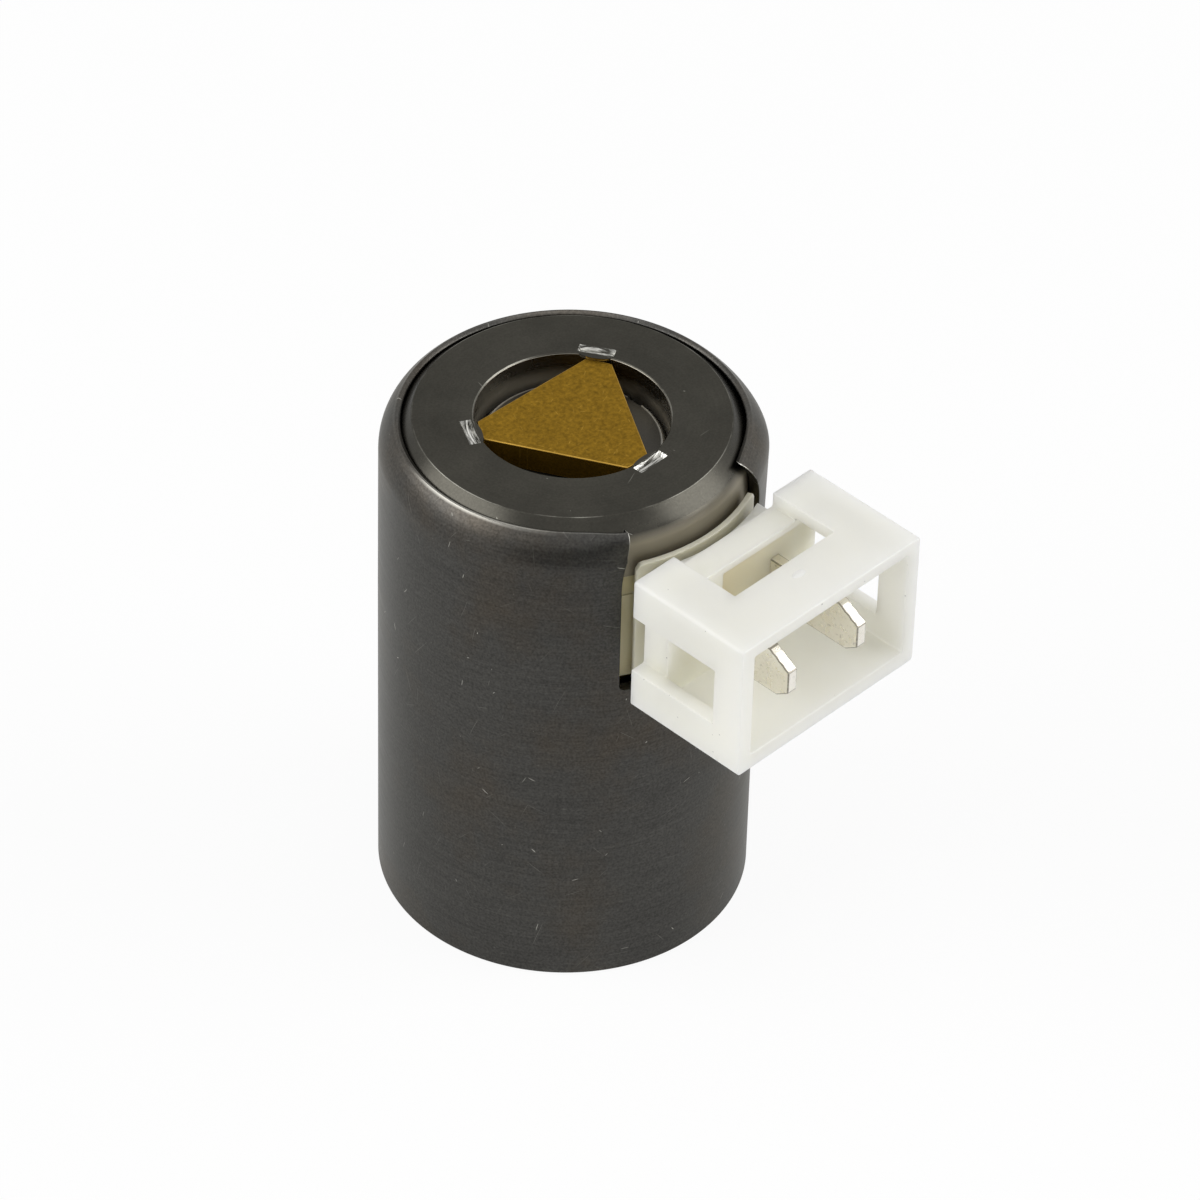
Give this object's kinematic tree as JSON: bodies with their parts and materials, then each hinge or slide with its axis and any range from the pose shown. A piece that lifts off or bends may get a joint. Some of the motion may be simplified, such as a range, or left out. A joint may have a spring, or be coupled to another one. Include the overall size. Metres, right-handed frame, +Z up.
{
  "type": "shift interlock solenoid",
  "caption": "Tubular push solenoid in a dark slotted steel can, with a staked brass stop in its pole plate and a white nylon blade connector standing out of its side.",
  "frame": {"origin": "centre of the can's base face, on the can's axis", "axes": "+Z up the can towards the pole plate, -Y out along the connector, +X across it"},
  "size_m": [0.025, 0.0355, 0.0377],
  "materials": {
    "can_steel": "dark grey phosphate over fine turning lines",
    "plate_steel": "dark oxidised, turned face",
    "stop_brass": "dull tumbled brass",
    "plunger_steel": "turned, bright chamfer",
    "pin_steel": "ground",
    "spring_wire": "drawn wire and strip",
    "core_steel": "turned",
    "bush_bronze": "sintered",
    "shim_brass": "rolled",
    "bobbin_nylon": "natural nylon, yellowed",
    "copper_wire": "enamelled wire",
    "wrap_film": "polyester film",
    "shroud_nylon": "natural nylon, translucent",
    "tinned_blade": "tin plate over brass strip",
    "solder": "bright solder"
  },
  "bodies": {
    "housing": {"can": "can_steel", "pole_plate": "plate_steel", "brass_stop": "stop_brass", "return_spring": "spring_wire", "fixed_core": "core_steel", "pin_bush": "bush_bronze", "residual_washer": "shim_brass", "guide_tube": "shim_brass", "bobbin": "bobbin_nylon", "winding": "copper_wire", "coil_tape": "wrap_film", "wave_washer": "spring_wire", "connector_housing": "shroud_nylon", "terminal_left": "tinned_blade", "terminal_right": "tinned_blade", "lead_start": "copper_wire", "lead_finish": "copper_wire", "solder_joints": "solder"},
    "plunger": {"plunger": "plunger_steel", "push_pin": "pin_steel"}
  },
  "joints": [
    {"name": "plunger_slide", "type": "slide", "parent": "housing", "child": "plunger", "axis": [0, 0, -1], "range_m": [0, 0.005], "stiffness_N_per_m": 250, "springref_m": -0.004, "deforming": ["return_spring"]}
  ]
}
